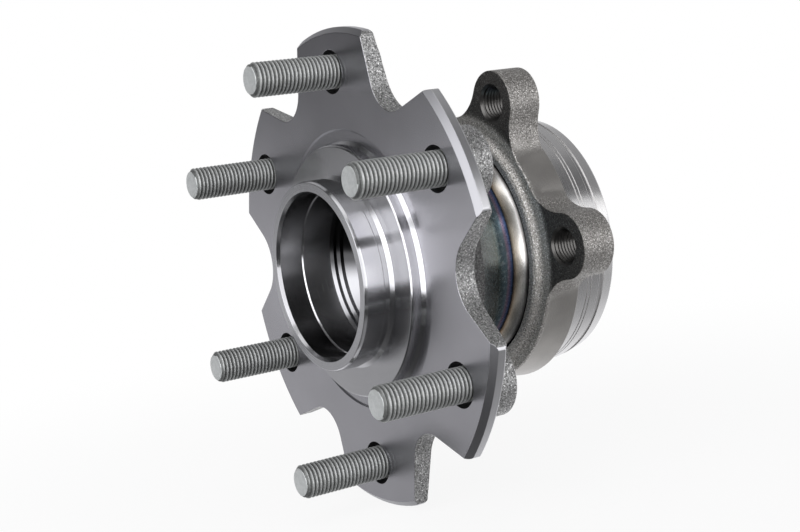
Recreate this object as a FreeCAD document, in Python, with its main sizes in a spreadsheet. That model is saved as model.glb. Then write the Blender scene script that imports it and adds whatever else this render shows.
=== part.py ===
import FreeCAD, Part
import math
import os
import Sketcher
from FreeCAD import Vector, Rotation, Placement

# Wheel hub bearing unit.  Hub axis along Y, wheel side towards -Y, Z up.  The origin is on the axis, in the
# plane of the ears' mounting face, where the knuckle holds the unit.  All sizes are in millimetres.  Sizes
# along the axis are given from the wheel face of the flange, and every finished piece is then moved by
# ear_back along -Y.

doc = FreeCAD.newDocument("hub_bearing")
sheet = doc.addObject("Spreadsheet::Sheet", "Sizes")

SIZES = [
    # nose and wheel pilot
    ("nose_front", -15.4), ("nose_face_rad", 33.0), ("pilot_rad", 33.5), ("pilot_lead", 1.1),
    ("pilot_end", -7.9), ("relief_rad", 32.9), ("relief_lead", 0.7), ("relief_end", -5.4),
    ("rotor_face", -4.3), ("rotor_foot_rad", 34.2), ("rotor_rad", 44.7), ("rotor_lead", 0.5),
    ("nose_cut", -4.8), ("flange_cut", 14.0),
    ("rotor_base", -0.6), ("groove_in", 45.9), ("groove_out", 49.3), ("groove_deep", 0.6),
    # flange
    ("face_rad", 83.1), ("flange_rad", 85.0), ("rim_lead", 1.9), ("rim_back", 5.5),
    ("rim_round", 0.8), ("web_rad", 62.0), ("web_back", 7.7), ("barrel_rad", 43.3), ("barrel_end", 25.8),
    ("web_arc", 18.9), ("neck_rad", 36.2), ("neck_foot_rad", 37.37), ("neck_foot", 35.52), ("neck_arc", 8.0),
    ("neck_start", 39.69), ("neck_end", 49.9),
    ("boss_rad", 12.6), ("boss_back", 14.2), ("boss_round", 1.2), ("recess_rad", 9.2), ("head_seat", 9.8),
    ("stud_circle_rad", 69.85), ("stud_hole_rad", 7.1), ("relief_hole_rad", 7.7), ("relief_hole_deep", 5.0),
    # side scallops and corner notches of the flange outline
    ("scallop_arc", 14.5), ("scallop_in", 65.5), ("scallop_slope", 40.0),
    ("notch_cx", 38.45), ("notch_cz", 66.45), ("notch_arc", 12.3), ("notch_a", 11.9), ("notch_b", 17.5),
    ("tip_arc", 3.0), ("tip_cross", 0.03),
    # bore
    ("mouth_rad", 30.05), ("mouth_lead", 1.3), ("cap_rad", 29.45), ("cap_end", -5.3), ("step_rad", 29.05),
    ("step_lead", 0.4), ("ring_a", 6.3), ("ring_drop", 1.0), ("ring_a_end", 8.6), ("ring_b_drop", 0.95),
    ("cone_start", 11.0), ("cone_run", 3.6), ("seat_rad", 16.4), ("shaft_rad", 15.6),
    ("spline_start", 21.0), ("spline_end", 77.0), ("spline_minor", 14.2), ("spline_major", 15.5),
    ("spline_teeth", 28), ("spline_half", 0.82), ("tail_lead", 0.9),
    # bearing rows
    ("pitch_rad", 34.5), ("ball_rad", 5.556), ("ball_gap", 0.10), ("row_out", 56.4), ("row_in", 71.4),
    ("high_rad", 33.6), ("low_rad", 29.4), ("race_start", 63.9), ("race_bore", 25.0), ("race_end", 82.0),
    ("roll_rad", 29.6), ("tail_end", 85.6), ("balls_each", 16),
    ("cage_in", 32.4), ("cage_out", 36.3), ("cage_tip", 1.4), ("cage_back", 6.9), ("pocket_gap", 0.15),
    # outer ring
    ("nose_back", 46.0), ("nose_rad", 43.2), ("nose_out", 44.2), ("nose_lead", 0.6), ("ear_front", 48.5), ("ear_back", 61.2),
    ("foot_out", 47.0), ("foot_arc", 3.0),
    ("body_front", 48.4), ("body_rear", 49.7), ("seat_out", 46.0), ("line_a", 68.125), ("line_wide", 0.45),
    ("line_b", 69.575), ("line_deep", 0.3), ("seat_end", 73.4), ("neckdown", 45.2), ("taper_start", 75.6),
    ("taper_rad", 45.6), ("tail_rad", 44.5), ("taper_end", 80.2), ("ring_end", 81.0), ("tail_face", 43.8),
    ("seal_rad", 40.6), ("seal_deep", 5.4), ("counter_rad", 40.0), ("mid_rad", 36.9),
    # ears
    ("ear_circle_rad", 58.31), ("ear_tip", 11.5), ("ear_blend", 16.0), ("ear_angle_a", 2.6), ("ear_spread", 62.0),
    ("ear_hole_rad", 6.0), ("ear_mouth", 0.8),
    # seals
    ("skin", 0.7), ("sling_out", 40.25), ("sling_front", 43.75), ("sling_edge", 45.9), ("sling_end", 49.4),
    ("case_front", 47.3), ("case_back", 51.0), ("lip_gap", 0.15), ("case_web", 38.4),
    ("rear_web", 77.2), ("rear_edge", 80.8), ("rear_web_rad", 36.2), ("rear_skin", 0.6), ("rear_start", 77.6),
    ("rear_flange", 80.7), ("rear_flange_rad", 39.3), ("magnet_rad", 35.0), ("magnet_thick", 1.0),
    # wheel studs
    ("stud_tip", -31.4), ("stud_tip_rad", 4.95), ("stud_lead", 1.15), ("stud_rad", 6.0), ("shank_start", 4.4),
    ("knurl_start", 5.2), ("head_rad", 9.0), ("head_thick", 3.8), ("head_lead", 0.7),
]
for i, (alias, value) in enumerate(SIZES, start=1):
    sheet.set("A%d" % i, alias)
    sheet.set("B%d" % i, str(value))
    sheet.setAlias("B%d" % i, alias)
doc.recompute()


class Q:
    """A size that keeps the formula it came from."""

    def __init__(self, value, text):
        self.v = float(value)
        self.t = text

    def __add__(self, o):
        o = q(o)
        return Q(self.v + o.v, "(%s + %s)" % (self.t, o.t))

    def __radd__(self, o):
        return q(o) + self

    def __sub__(self, o):
        o = q(o)
        return Q(self.v - o.v, "(%s - %s)" % (self.t, o.t))

    def __rsub__(self, o):
        return q(o) - self

    def __mul__(self, o):
        o = q(o)
        return Q(self.v * o.v, "(%s * %s)" % (self.t, o.t))

    def __rmul__(self, o):
        return q(o) * self

    def __truediv__(self, o):
        o = q(o)
        return Q(self.v / o.v, "(%s / %s)" % (self.t, o.t))

    def __neg__(self):
        return Q(-self.v, "(0 - %s)" % self.t)


def q(x):
    return x if isinstance(x, Q) else Q(x, repr(float(x)))


def cosd(a):
    a = q(a)
    return Q(math.cos(math.radians(a.v)), "cos(%s * 1 deg)" % a.t)


def sind(a):
    a = q(a)
    return Q(math.sin(math.radians(a.v)), "sin(%s * 1 deg)" % a.t)


def root(a):
    a = q(a)
    return Q(math.sqrt(a.v), "sqrt(%s)" % a.t)


class Dim:
    pass


D = Dim()
for alias, value in SIZES:
    setattr(D, alias, Q(value, "Sizes.%s" % alias))

NODES = []


def new_body(label, place=None):
    b = doc.addObject("PartDesign::Body", label)
    b.Label = label
    if place is not None:
        b.Placement = place
    NODES.append(b)
    return b


def origin_plane(body, role):
    for f in body.Origin.OriginFeatures:
        if f.Role == role:
            return f
    raise RuntimeError("no " + role)


def new_sketch(body, name, role, lift=None):
    sk = body.newObject("Sketcher::SketchObject", name)
    sk.AttachmentSupport = [(origin_plane(body, role), "")]
    sk.MapMode = "FlatFace"
    if lift is not None:
        sk.AttachmentOffset = Placement(Vector(0, 0, lift.v), Rotation())
        sk.setExpression("AttachmentOffset.Base.z", lift.t)
    return sk


def bind(sk, index, value):
    sk.setExpression("Constraints[%d]" % index, value.t)


def pin_point(sk, geo, pos, x, y):
    """Fix one sketch point at x, y with two driving dimensions."""
    x, y = q(x), q(y)
    for kind, val in (("DistanceX", x), ("DistanceY", y)):
        if abs(val.v) < 1e-9:
            other = "PointOnObject"
            sk.addConstraint(Sketcher.Constraint(other, geo, pos, -2 if kind == "DistanceX" else -1))
        else:
            c = sk.addConstraint(Sketcher.Constraint(kind, -1, 1, geo, pos, val.v))
            bind(sk, c, val)


def outline(sk, verts):
    """Closed outline.  A vertex is (x, y) or (x, y, radius, side): the segment that leaves it is then
    an arc of that radius whose centre lies to the left (+1) or right (-1) of the chord."""
    n = len(verts)
    geos = []
    for i in range(n):
        a, b = verts[i], verts[(i + 1) % n]
        ax, ay, bx, by = q(a[0]).v, q(a[1]).v, q(b[0]).v, q(b[1]).v
        if len(a) == 2:
            geos.append((sk.addGeometry(Part.LineSegment(Vector(ax, ay, 0), Vector(bx, by, 0)), False), 1, 2))
            continue
        r, side = q(a[2]).v, a[3]
        mx, my = (ax + bx) / 2, (ay + by) / 2
        dx, dy = bx - ax, by - ay
        c = math.hypot(dx, dy)
        k = math.sqrt(max(r * r - c * c / 4, 0.0))
        cx, cy = mx - side * dy / c * k, my + side * dx / c * k
        t0, t1 = math.atan2(ay - cy, ax - cx), math.atan2(by - cy, bx - cx)
        circle = Part.Circle(Vector(cx, cy, 0), Vector(0, 0, 1), r)
        if side > 0:
            if t1 < t0:
                t1 += 2 * math.pi
            geos.append((sk.addGeometry(Part.ArcOfCircle(circle, t0, t1), False), 1, 2))
        else:
            if t0 < t1:
                t0 += 2 * math.pi
            geos.append((sk.addGeometry(Part.ArcOfCircle(circle, t1, t0), False), 2, 1))
        ci = sk.addConstraint(Sketcher.Constraint("Radius", geos[-1][0], r))
        bind(sk, ci, q(a[2]))
    for i in range(n):
        g, gn = geos[i], geos[(i + 1) % n]
        sk.addConstraint(Sketcher.Constraint("Coincident", g[0], g[2], gn[0], gn[1]))
    for i in range(n):
        pin_point(sk, geos[i][0], geos[i][1], verts[i][0], verts[i][1])


def circles(sk, places):
    for x, y, r in places:
        g = sk.addGeometry(Part.Circle(Vector(q(x).v, q(y).v, 0), Vector(0, 0, 1), q(r).v), False)
        c = sk.addConstraint(Sketcher.Constraint("Radius", g, q(r).v))
        bind(sk, c, q(r))
        pin_point(sk, g, 3, x, y)


def turned(body, name, verts):
    """Solid of revolution about the body's Y axis; outline x is the radius, y the position along Y."""
    sk = new_sketch(body, name + "_profile", "XY_Plane")
    outline(sk, verts)
    rev = body.newObject("PartDesign::Revolution", name)
    rev.Profile = sk
    rev.ReferenceAxis = (sk, ["V_Axis"])
    rev.Angle = 360.0
    sk.Visibility = False
    doc.recompute()
    return rev


def pad(body, name, sk, length, reverse):
    f = body.newObject("PartDesign::Pad", name)
    f.Profile = sk
    f.Length = length.v
    f.setExpression("Length", length.t)
    f.Reversed = reverse
    doc.recompute()
    return f


def pocket(body, name, sk, length, reverse):
    before = body.Shape.Volume
    f = body.newObject("PartDesign::Pocket", name)
    f.Profile = sk
    f.Length = length.v
    f.setExpression("Length", length.t)
    f.Reversed = reverse
    doc.recompute()
    if not body.Shape.Volume < before - 1e-3:
        raise RuntimeError("%s removed nothing" % name)
    return f


def ring_edges(shape, radius, tol=0.02, ypos=None, about=None):
    names = []
    for i, e in enumerate(shape.Edges, start=1):
        c = e.Curve
        if c.TypeId != "Part::GeomCircle":
            continue
        if abs(c.Radius - radius) > tol:
            continue
        if ypos is not None and abs(c.Center.y - ypos) > tol:
            continue
        if about is not None and not any(math.hypot(c.Center.x - x, c.Center.z - z) < tol for x, z in about):
            continue
        names.append("Edge%d" % i)
    return names


# ---------------------------------------------------------------- hub
# The hub is one forging.  It is made as four pieces that meet face to face across the axis: the nose, the
# rotor step, the flange and the spindle.
R_groove = D.ball_rad + D.ball_gap


def reach(rad):
    """Half width along Y of a raceway circle at radius rad."""
    d = rad - D.pitch_rad
    return root(R_groove * R_groove - d * d)


def slope_at(a, b, y):
    """Radius at y on the straight line from a to b, both (radius, y)."""
    return a[0] + (y - a[1]) / (b[1] - a[1]) * (b[0] - a[0])


cone_foot = D.step_rad - D.ring_drop - D.ring_b_drop
cone_end = D.cone_start + D.cone_run
nose_meet = slope_at((D.relief_rad, D.relief_end), (D.rotor_foot_rad, D.rotor_face), D.nose_cut)
face_meet = slope_at((D.rotor_rad, D.rotor_base), (D.groove_in, D.groove_deep), q(0))
cone_meet = cone_foot - (D.flange_cut - D.cone_start)
# the hollow arc that leads from the flange's back to the barrel
run_r, run_y = D.barrel_rad - D.web_rad, D.barrel_end - D.web_back
chord = root(run_r * run_r + run_y * run_y)
rise = root(D.web_arc * D.web_arc - chord * chord / 4)
arc_r = (D.web_rad + D.barrel_rad) / 2 + run_y / chord * rise
arc_y = (D.web_back + D.barrel_end) / 2 - run_r / chord * rise
web_meet = arc_r - root(D.web_arc * D.web_arc - (D.flange_cut - arc_y) * (D.flange_cut - arc_y))

nose = new_body("hub_nose")
turned(nose, "nose_turning", [
    (D.mouth_rad, D.nose_front),
    (D.nose_face_rad, D.nose_front),
    (D.pilot_rad, D.nose_front + D.pilot_lead),
    (D.pilot_rad, D.pilot_end),
    (D.relief_rad, D.pilot_end + D.relief_lead),
    (D.relief_rad, D.relief_end),
    (nose_meet, D.nose_cut),
    (D.step_rad, D.nose_cut),
    (D.step_rad, D.cap_end + D.step_lead),
    (D.cap_rad, D.cap_end),
    (D.cap_rad, D.nose_front + D.mouth_lead),
])

step = new_body("hub_rotor_step")
turned(step, "step_turning", [
    (D.step_rad, D.nose_cut),
    (nose_meet, D.nose_cut),
    (D.rotor_foot_rad, D.rotor_face),
    (D.rotor_rad - D.rotor_lead, D.rotor_face),
    (D.rotor_rad, D.rotor_face + D.rotor_lead),
    (D.rotor_rad, D.rotor_base),
    (face_meet, 0),
    (D.step_rad, 0),
])

spindle = new_body("hub_spindle")
turned(spindle, "spindle_turning", [
    (web_meet, D.flange_cut, D.web_arc, -1),
    (D.barrel_rad, D.barrel_end),
    (D.neck_foot_rad, D.neck_foot, D.neck_arc, -1),
    (D.neck_rad, D.neck_start),
    (D.neck_rad, D.neck_end),
    (D.high_rad, D.neck_end + 0.4),
    (D.high_rad, D.row_out - reach(D.high_rad), R_groove, -1),
    (D.low_rad, D.row_out + reach(D.low_rad)),
    (D.low_rad, D.race_start),
    (D.race_bore, D.race_start),
    (D.race_bore, D.race_end),
    (D.roll_rad - 0.8, D.race_end),
    (D.roll_rad, D.race_end + 0.8),
    (D.roll_rad - 1.2, D.tail_end - 1.4),
    (D.roll_rad - 3.6, D.tail_end),
    (D.shaft_rad + D.tail_lead, D.tail_end),
    (D.shaft_rad, D.tail_end - D.tail_lead),
    (D.shaft_rad, D.spline_end + (D.shaft_rad - D.spline_minor)),
    (D.spline_minor, D.spline_end),
    (D.spline_minor, D.spline_start),
    (D.shaft_rad, D.spline_start - (D.shaft_rad - D.spline_minor)),
    (D.shaft_rad, cone_end + D.tail_lead),
    (D.seat_rad, cone_end),
    (cone_foot - D.cone_run, cone_end),
    (cone_meet, D.flange_cut),
])

hub = new_body("hub_flange")
turned(hub, "flange_turning", [
    (D.step_rad, 0),
    (face_meet, 0),
    (D.groove_in, D.groove_deep),
    (D.groove_out, D.groove_deep),
    (D.groove_out + D.groove_deep, 0),
    (D.face_rad, 0),
    (D.flange_rad, D.rim_lead),
    (D.flange_rad, D.rim_back - D.rim_round),
    (D.flange_rad - D.rim_round, D.rim_back),
    (D.web_rad, D.web_back, D.web_arc, -1),
    (web_meet, D.flange_cut),
    (cone_meet, D.flange_cut),
    (cone_foot, D.cone_start),
    (cone_foot, D.ring_a_end + D.ring_b_drop),
    (D.step_rad - D.ring_drop, D.ring_a_end),
    (D.step_rad - D.ring_drop, D.ring_a + D.ring_drop),
    (D.step_rad, D.ring_a),
])

stud_angles = [90, 30, -30, -90, -150, 150]
stud_xz = [(D.stud_circle_rad * cosd(a), D.stud_circle_rad * sind(a)) for a in stud_angles]

# round pads on the back of the flange, one behind each stud
sk = new_sketch(hub, "boss_plan", "XZ_Plane", -D.rim_back + D.rim_round)
circles(sk, [(x, z, D.boss_rad) for x, z in stud_xz])
pad(hub, "stud_bosses", sk, D.boss_back - D.rim_back + D.rim_round, True)

# flange outline: two side scallops and four corner notches, with rounded tips where they meet the rim
def tip(p, run, into):
    """Rounding between a straight wall through p along run and the rim.  into points into the metal.
    Returns where the wall ends, where the arc ends just outside the rim, and a point well outside."""
    wx, wz = p[0] + D.tip_arc * into[0], p[1] + D.tip_arc * into[1]
    along = wx * run[0] + wz * run[1]
    far = D.flange_rad - D.tip_arc + D.tip_cross
    t = root(along * along - wx * wx - wz * wz + far * far) - along
    cx, cz = wx + t * run[0], wz + t * run[1]
    foot = (p[0] + t * run[0], p[1] + t * run[1])
    k = (far + D.tip_arc) / far
    return foot, (cx * k, cz * k), (cx * k * 1.2, cz * k * 1.2)


arc_x = D.scallop_in + D.scallop_arc - D.scallop_arc * sind(D.scallop_slope)
arc_z = D.scallop_arc * cosd(D.scallop_slope)
foot, end, out = tip((arc_x, arc_z), (cosd(D.scallop_slope), sind(D.scallop_slope)),
                     (-sind(D.scallop_slope), cosd(D.scallop_slope)))
for tag, s in (("right", 1), ("left", -1)):
    sk = new_sketch(hub, "scallop_" + tag, "XZ_Plane", q(1.0))
    X = (lambda v, k=s: v if k > 0 else -v)
    outline(sk, [(X(arc_x), arc_z, D.scallop_arc, s), (X(arc_x), -arc_z), (X(foot[0]), -foot[1], D.tip_arc, -s),
                 (X(end[0]), -end[1]), (X(out[0]), -out[1]), (X(out[0]), out[1]), (X(end[0]), end[1], D.tip_arc, -s),
                 (X(foot[0]), foot[1])])
    pocket(hub, "scallop_cut_" + tag, sk, D.boss_back + 3.0, False)

ax_ = D.notch_cx - D.notch_arc * cosd(D.notch_a)
az_ = D.notch_cz - D.notch_arc * sind(D.notch_a)
bx_ = D.notch_cx + D.notch_arc * sind(D.notch_b)
bz_ = D.notch_cz - D.notch_arc * cosd(D.notch_b)
foot_a, end_a, out_a = tip((ax_, az_), (-sind(D.notch_a), cosd(D.notch_a)), (-cosd(D.notch_a), -sind(D.notch_a)))
foot_b, end_b, out_b = tip((bx_, bz_), (cosd(D.notch_b), sind(D.notch_b)), (sind(D.notch_b), -cosd(D.notch_b)))
for tag, sx, sz in (("upper_right", 1, 1), ("upper_left", -1, 1), ("lower_left", -1, -1), ("lower_right", 1, -1)):
    sk = new_sketch(hub, "notch_" + tag, "XZ_Plane", q(1.0))
    side = sx * sz
    X = (lambda v, k=sx: v if k > 0 else -v)
    Z = (lambda v, k=sz: v if k > 0 else -v)
    outline(sk, [(X(ax_), Z(az_), D.notch_arc, side), (X(bx_), Z(bz_)), (X(foot_b[0]), Z(foot_b[1]), D.tip_arc, -side),
                 (X(end_b[0]), Z(end_b[1])), (X(out_b[0]), Z(out_b[1])), (X(out_b[0]), Z(out_a[1])),
                 (X(out_a[0]), Z(out_a[1])), (X(end_a[0]), Z(end_a[1]), D.tip_arc, -side), (X(foot_a[0]), Z(foot_a[1]))])
    pocket(hub, "notch_cut_" + tag, sk, D.boss_back + 3.0, False)

# stud holes with a relief at the face
sk = new_sketch(hub, "stud_hole_plan", "XZ_Plane", q(1.0))
circles(sk, [(x, z, D.stud_hole_rad) for x, z in stud_xz])
pocket(hub, "stud_holes", sk, D.boss_back + 3.0, False)
sk = new_sketch(hub, "relief_plan", "XZ_Plane", q(1.0))
circles(sk, [(x, z, D.relief_hole_rad) for x, z in stud_xz])
pocket(hub, "stud_hole_reliefs", sk, D.relief_hole_deep + 1.0, False)

# recess in each pad for the stud's head
sk = new_sketch(hub, "head_recess_plan", "XZ_Plane", -D.head_seat)
circles(sk, [(x, z, D.recess_rad) for x, z in stud_xz])
last = pocket(hub, "head_recesses", sk, D.boss_back - D.head_seat + 1.0, False)

# rounded edges of the pads behind the studs
edges = ring_edges(hub.Shape, D.boss_rad.v, ypos=D.boss_back.v)
if edges:
    fil = hub.newObject("PartDesign::Fillet", "boss_rounding")
    fil.Base = (last, edges)
    fil.Radius = D.boss_round.v
    fil.setExpression("Radius", D.boss_round.t)
    doc.recompute()

# drive shaft splines: one tooth space, repeated round the axis
sk = new_sketch(spindle, "spline_space", "XZ_Plane", -(D.spline_start - 2.0))
outline(sk, [(D.spline_minor - 0.6, -D.spline_half), (D.spline_major, -D.spline_half * 0.6),
             (D.spline_major, D.spline_half * 0.6), (D.spline_minor - 0.6, D.spline_half)])
one = pocket(spindle, "spline_cut", sk, D.spline_end - D.spline_start + 4.0, False)
pat = spindle.newObject("PartDesign::PolarPattern", "spline_ring")
pat.Originals = [one]
pat.Axis = (origin_plane(spindle, "Y_Axis"), [""])
pat.Angle = 360.0
pat.Occurrences = int(D.spline_teeth.v)
pat.setExpression("Occurrences", D.spline_teeth.t)
spindle.Tip = pat
doc.recompute()

# ---------------------------------------------------------------- pressed inner race
race = new_body("inner_race")
turned(race, "race_turning", [
    (D.race_bore, D.race_start + 0.6),
    (D.race_bore + 0.6, D.race_start),
    (D.low_rad - 0.3, D.race_start),
    (D.low_rad, D.race_start + 0.3),
    (D.low_rad, D.row_in - reach(D.low_rad), R_groove, -1),
    (D.high_rad, D.row_in + reach(D.high_rad)),
    (D.high_rad, D.race_end - 0.5),
    (D.high_rad - 0.5, D.race_end),
    (D.race_bore + 1.2, D.race_end),
    (D.race_bore, D.race_end - 1.2),
])

# ---------------------------------------------------------------- outer ring with four threaded ears
ring = new_body("outer_ring")
turned(ring, "ring_turning", [
    (D.nose_rad, D.nose_back),
    (D.nose_out, D.nose_back + D.nose_lead, D.foot_arc, -1),
    (D.foot_out, D.ear_front),
    (D.body_front, D.ear_front),
    (D.body_rear, D.ear_back),
    (D.seat_out, D.ear_back),
    (D.seat_out, D.line_a),
    (D.seat_out - D.line_deep, D.line_a + D.line_wide / 2),
    (D.seat_out, D.line_a + D.line_wide),
    (D.seat_out, D.line_b),
    (D.seat_out - D.line_deep, D.line_b + D.line_wide / 2),
    (D.seat_out, D.line_b + D.line_wide),
    (D.seat_out, D.seat_end),
    (D.neckdown, D.seat_end + 0.5),
    (D.neckdown, D.taper_start - 0.3),
    (D.taper_rad, D.taper_start),
    (D.tail_rad, D.taper_end),
    (D.tail_face, D.ring_end),
    (D.seal_rad + 0.5, D.ring_end),
    (D.seal_rad, D.ring_end - 0.5),
    (D.seal_rad, D.ring_end - D.seal_deep),
    (D.counter_rad, D.ring_end - D.seal_deep - 0.3),
    (D.counter_rad, D.row_in + reach(D.counter_rad), R_groove, -1),
    (D.mid_rad, D.row_in - reach(D.mid_rad)),
    (D.mid_rad, D.row_out + reach(D.mid_rad), R_groove, -1),
    (D.counter_rad, D.row_out - reach(D.counter_rad)),
    (D.counter_rad, D.nose_back + D.seal_deep + 0.3),
    (D.seal_rad, D.nose_back + D.seal_deep),
    (D.seal_rad, D.nose_back + 0.5),
    (D.seal_rad + 0.5, D.nose_back),
])
ear_angles = [D.ear_angle_a, D.ear_angle_a + D.ear_spread, D.ear_angle_a + 180, D.ear_angle_a + D.ear_spread + 180]
ub = D.ear_circle_rad
vb = D.ear_tip + D.ear_blend
body_mid = (D.body_front + D.body_rear) / 2
span = root(ub * ub + vb * vb)
uf = ub * (span - D.ear_blend) / span
vf = vb * (span - D.ear_blend) / span


def turn_uv(u, v, a):
    return (u * cosd(a) - v * sind(a), u * sind(a) + v * cosd(a))


for k, a in enumerate(ear_angles, start=1):
    sk = new_sketch(ring, "ear_%d_plan" % k, "XZ_Plane", -D.ear_front)
    p1 = turn_uv(ub, -D.ear_tip, a)
    p2 = turn_uv(ub, D.ear_tip, a)
    p3 = turn_uv(uf, vf, a)
    p4 = turn_uv(uf, -vf, a)
    outline(sk, [(p1[0], p1[1], D.ear_tip * 1.0001, 1), (p2[0], p2[1], D.ear_blend, -1), (p3[0], p3[1]), (p4[0], p4[1], D.ear_blend, -1)])
    pad(ring, "ear_%d" % k, sk, D.ear_back - D.ear_front, True)
ear_xz = [(ub * cosd(a), ub * sind(a)) for a in ear_angles]
sk = new_sketch(ring, "ear_hole_plan", "XZ_Plane", -(D.ear_front - 1.0))
circles(sk, [(x, z, D.ear_hole_rad) for x, z in ear_xz])
holes = pocket(ring, "ear_holes", sk, D.ear_back - D.ear_front + 2.0, False)
edges = ring_edges(ring.Shape, D.ear_hole_rad.v, about=[(x.v, z.v) for x, z in ear_xz])
ch = ring.newObject("PartDesign::Chamfer", "ear_hole_mouths")
ch.Base = (holes, edges)
ch.Size = D.ear_mouth.v
ch.setExpression("Size", D.ear_mouth.t)
doc.recompute()


# ---------------------------------------------------------------- balls and cages
def ball_row(label, ypos):
    parts = []
    n = int(D.balls_each.v)
    for i in range(n):
        a = 360.0 * i / n
        s = doc.addObject("Part::Sphere", "%s_%02d" % (label, i + 1))
        s.Radius = D.ball_rad.v
        s.setExpression("Radius", D.ball_rad.t)
        cx, cz = D.pitch_rad * cosd(a), D.pitch_rad * sind(a)
        s.Placement = Placement(Vector(cx.v, ypos.v, cz.v), Rotation())
        s.setExpression("Placement.Base.x", cx.t)
        s.setExpression("Placement.Base.y", ypos.t)
        s.setExpression("Placement.Base.z", cz.t)
        parts.append(s)
    c = doc.addObject("Part::Compound", label)
    c.Label = label
    c.Links = parts
    NODES.append(c)
    return c


ball_row("outboard_balls", D.row_out)
ball_row("inboard_balls", D.row_in)


def cage(label, ypos, s):
    """Crown cage: a ring between the two rows with open-mouthed ball pockets.  s is +1 when its ring
    lies on the +Y side of the balls."""
    b = new_body(label)
    y0 = ypos - D.cage_tip * s
    y1 = ypos + D.cage_back * s
    lo, hi = (y0, y1) if s > 0 else (y1, y0)
    turned(b, label + "_turning", [(D.cage_in, lo), (D.cage_out, lo), (D.cage_out, hi), (D.cage_in, hi)])
    sk = new_sketch(b, label + "_pocket_plan", "YZ_Plane", D.cage_in - 1.0)
    circles(sk, [(ypos, 0, D.ball_rad + D.pocket_gap)])
    sp = pocket(b, label + "_pocket", sk, D.cage_out - D.cage_in + 2.0, True)
    pp = b.newObject("PartDesign::PolarPattern", label + "_pockets")
    pp.Originals = [sp]
    pp.Axis = (origin_plane(b, "Y_Axis"), [""])
    pp.Angle = 360.0
    pp.Occurrences = int(D.balls_each.v)
    pp.setExpression("Occurrences", D.balls_each.t)
    b.Tip = pp
    doc.recompute()
    return b


cage("outboard_cage", D.row_out, 1)
cage("inboard_cage", D.row_in, -1)

# ---------------------------------------------------------------- outboard seal
sl = new_body("outboard_slinger")
mid = (D.neck_rad + D.skin + D.sling_out) / 2
rise = (D.sling_edge - D.sling_front) / 2
turned(sl, "slinger_turning", [
    (D.neck_rad, D.sling_front + 1.3),
    (D.neck_rad + 0.1, D.sling_front + 0.7),
    (D.neck_rad + 0.35, D.sling_front + 0.2),
    (D.neck_rad + 0.75, D.sling_front),
    (mid, D.sling_front + rise - 0.2),
    (D.sling_out - 0.35, D.sling_edge - 0.2),
    (D.sling_out, D.sling_edge + 0.05),
    (D.sling_out, D.sling_edge + D.skin),
    (D.sling_out - 0.4, D.sling_edge + D.skin),
    (mid, D.sling_front + rise - 0.2 + D.skin * 1.15),
    (D.neck_rad + D.skin + 0.5, D.sling_front + D.skin + 0.15),
    (D.neck_rad + D.skin, D.sling_front + 1.5),
    (D.neck_rad + D.skin, D.sling_end),
    (D.neck_rad, D.sling_end),
])
cs = new_body("outboard_seal_case")
turned(cs, "case_turning", [
    (D.seal_rad - 0.4, D.case_front),
    (D.seal_rad, D.case_front + 0.4),
    (D.seal_rad, D.case_back),
    (D.case_web, D.case_back),
    (D.case_web, D.case_back - D.skin),
    (D.seal_rad - D.skin, D.case_back - D.skin),
    (D.seal_rad - D.skin, D.case_front),
])
lp = new_body("outboard_seal_lip")
turned(lp, "lip_turning", [
    (D.neck_rad + D.skin + D.lip_gap, D.case_back - D.skin - 1.5),
    (D.neck_rad + D.skin + D.lip_gap + 0.5, D.case_back - D.skin - 1.5),
    (D.neck_rad + D.skin + 1.2, D.case_back - D.skin - 0.8),
    (D.case_web + 0.2, D.case_back - D.skin - 1.0),
    (D.case_web - 0.3, D.sling_edge + 0.2),
    (D.case_web + 0.3, D.sling_edge + 0.2),
    (D.seal_rad - D.skin - 0.3, D.case_back - D.skin - 0.9),
    (D.seal_rad - D.skin - 0.3, D.case_back - D.skin),
    (D.case_web, D.case_back - D.skin),
    (D.case_web, D.case_back),
    (D.case_web - 0.3, D.case_back),
    (D.neck_rad + D.skin + D.lip_gap + 0.4, D.case_back - D.skin - 0.1),
])

# ---------------------------------------------------------------- inboard seal and encoder
cs2 = new_body("inboard_seal_case")
turned(cs2, "rear_case_turning", [
    (D.rear_web_rad, D.rear_web),
    (D.seal_rad, D.rear_web),
    (D.seal_rad, D.rear_edge - 0.3),
    (D.seal_rad - 0.3, D.rear_edge),
    (D.seal_rad - D.rear_skin, D.rear_edge),
    (D.seal_rad - D.rear_skin, D.rear_web + D.rear_skin),
    (D.rear_web_rad, D.rear_web + D.rear_skin),
])
sl2 = new_body("inboard_slinger")
turned(sl2, "rear_slinger_turning", [
    (D.high_rad, D.rear_start),
    (D.high_rad + D.rear_skin, D.rear_start),
    (D.high_rad + D.rear_skin, D.rear_flange - 0.5),
    (D.high_rad + D.rear_skin + 0.5, D.rear_flange),
    (D.rear_flange_rad, D.rear_flange),
    (D.rear_flange_rad, D.rear_flange + D.rear_skin),
    (D.high_rad + 0.8, D.rear_flange + D.rear_skin),
    (D.high_rad, D.rear_flange + D.rear_skin - 0.8),
])
lp2 = new_body("inboard_seal_lip")
y_a = D.rear_web + D.rear_skin
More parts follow.
